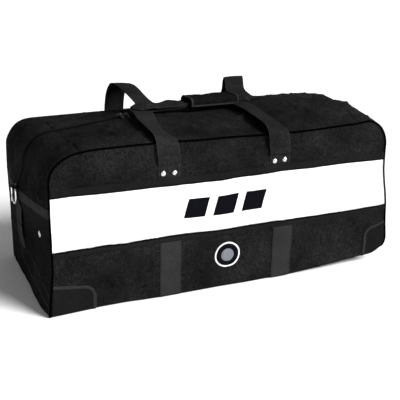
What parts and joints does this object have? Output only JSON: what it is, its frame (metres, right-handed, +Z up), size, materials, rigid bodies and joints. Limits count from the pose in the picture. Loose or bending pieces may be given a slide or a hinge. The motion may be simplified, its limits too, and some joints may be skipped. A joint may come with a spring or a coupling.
{
  "type": "hockey equipment bag",
  "caption": "Large boxy hockey equipment bag in black cloth with a white side stripe, zipped crowned top, wrapped carry handles, end grab handles and D-rings.",
  "frame": {"origin": "centre of the footprint, on the surface the bag stands on", "axes": "+X along the length to the right as seen from the front, front face towards -Y, +Z up"},
  "size_m": [0.9844, 0.4394, 0.4717],
  "materials": {
    "canvas": "heavy woven polyester, matt black",
    "stripe_cloth": "coated woven polyester, white",
    "stiffener": "plain sheet",
    "piping": "cloth covered welt",
    "trim_webbing": "flat woven tape, charcoal",
    "patch_cloth": "dense woven wear cloth",
    "handle_webbing": "ribbed woven webbing, charcoal",
    "grip_cloth": "padded woven wrap",
    "rivet_steel": "polished",
    "eyelet_steel": "polished",
    "ring_steel": "polished, lightly scuffed",
    "zip_tape": "woven tape",
    "zip_teeth": "moulded teeth",
    "zip_metal": "black enamel, worn at the edges",
    "pull_metal": "satin"
  },
  "bodies": {
    "shell": {"bottom_panel": "canvas", "base_board": "stiffener", "front_lower_panel": "canvas", "front_stripe_panel": "stripe_cloth", "front_upper_panel": "canvas", "back_lower_panel": "canvas", "back_stripe_panel": "stripe_cloth", "back_upper_panel": "canvas", "left_end_panel": "canvas", "right_end_panel": "canvas", "left_gusset_front": "canvas", "left_gusset_back": "canvas", "right_gusset_front": "canvas", "right_gusset_back": "canvas", "piping_front": "piping", "piping_back": "piping", "end_band_left": "trim_webbing", "end_band_right": "trim_webbing", "trim_upper_front": "trim_webbing", "trim_upper_back": "trim_webbing", "trim_lower_front": "trim_webbing", "trim_lower_back": "trim_webbing", "base_webbing_front": "trim_webbing", "base_webbing_back": "trim_webbing", "corner_patches_front": "patch_cloth", "corner_patches_back": "patch_cloth", "patch_binding_front": "trim_webbing", "patch_binding_back": "trim_webbing", "handle_leg_front_left": "handle_webbing", "handle_leg_front_right": "handle_webbing", "handle_leg_back_left": "handle_webbing", "handle_leg_back_right": "handle_webbing", "rivets": "rivet_steel", "rivet_washers": "rivet_steel", "vent_eyelets": "eyelet_steel", "d_ring_tab_left": "handle_webbing", "d_ring_tab_right": "handle_webbing", "grab_tabs": "handle_webbing", "zip_end_left": "zip_teeth", "zip_end_right": "zip_teeth", "zip_stops": "zip_metal"},
    "front_flap": {"top_flap_front": "canvas", "zip_tape_front": "zip_tape", "zip_teeth_front": "zip_teeth"},
    "back_flap": {"top_flap_back": "canvas", "zip_tape_back": "zip_tape", "zip_teeth_back": "zip_teeth"},
    "left_slider": {"slider_left": "zip_metal"},
    "right_slider": {"slider_right": "zip_metal"},
    "left_pull": {"pull_left": "pull_metal"},
    "right_pull": {"pull_right": "pull_metal"},
    "carry_handles": {"handle_loop_front": "handle_webbing", "handle_loop_back": "handle_webbing", "grip_base": "grip_cloth"},
    "grip_cover": {"grip_flap": "grip_cloth"},
    "left_ring": {"d_ring_left": "ring_steel"},
    "right_ring": {"d_ring_right": "ring_steel"},
    "left_grab": {"grab_handle_left": "handle_webbing"},
    "right_grab": {"grab_handle_right": "handle_webbing"}
  },
  "joints": [
    {"name": "mouth_open", "type": "hinge", "parent": "shell", "child": "front_flap", "pos_m": [0, -0.2105, 0.38875], "axis": [-1, 0, 0], "range_deg": [0, 75]},
    {"name": "back_flap_fold", "type": "hinge", "parent": "shell", "child": "back_flap", "pos_m": [0, 0.2105, 0.38875], "axis": [1, 0, 0], "range_deg": [0, 75]},
    {"name": "left_slider_run", "type": "slide", "parent": "shell", "child": "left_slider", "axis": [-1, 0, 0], "range_m": [0, 0.173]},
    {"name": "right_slider_run", "type": "slide", "parent": "shell", "child": "right_slider", "axis": [1, 0, 0], "range_m": [0, 0.572]},
    {"name": "left_pull_swing", "type": "hinge", "parent": "left_slider", "child": "left_pull", "pos_m": [-0.208, 0, 0.421], "axis": [-1, 0, 0], "range_deg": [0, 160]},
    {"name": "right_pull_swing", "type": "hinge", "parent": "right_slider", "child": "right_pull", "pos_m": [-0.191, 0, 0.421], "axis": [-1, 0, 0], "range_deg": [0, 160]},
    {"name": "handle_lift", "type": "slide", "parent": "shell", "child": "carry_handles", "axis": [0, 0, 1], "range_m": [0, 0.12]},
    {"name": "grip_cover_open", "type": "hinge", "parent": "carry_handles", "child": "grip_cover", "pos_m": [0.047, 0.03, 0.4495], "axis": [-1, 0, 0], "range_deg": [0, 150]},
    {"name": "left_ring_swing", "type": "hinge", "parent": "shell", "child": "left_ring", "pos_m": [-0.488, 0, 0.26], "axis": [0, 1, 0], "range_deg": [0, 120]},
    {"name": "right_ring_swing", "type": "hinge", "parent": "shell", "child": "right_ring", "pos_m": [0.488, 0, 0.26], "axis": [0, -1, 0], "range_deg": [0, 120]},
    {"name": "left_grab_pull", "type": "slide", "parent": "shell", "child": "left_grab", "axis": [-1, 0, 0], "range_m": [0, 0.02]},
    {"name": "right_grab_pull", "type": "slide", "parent": "shell", "child": "right_grab", "axis": [1, 0, 0], "range_m": [0, 0.02]}
  ],
  "couplings": [
    {"joint": "back_flap_fold", "follows": "mouth_open", "ratio": 1},
    {"joint": "left_slider_run", "follows": "mouth_open", "m_per_rad": 0.132},
    {"joint": "right_slider_run", "follows": "mouth_open", "m_per_rad": 0.4365}
  ]
}
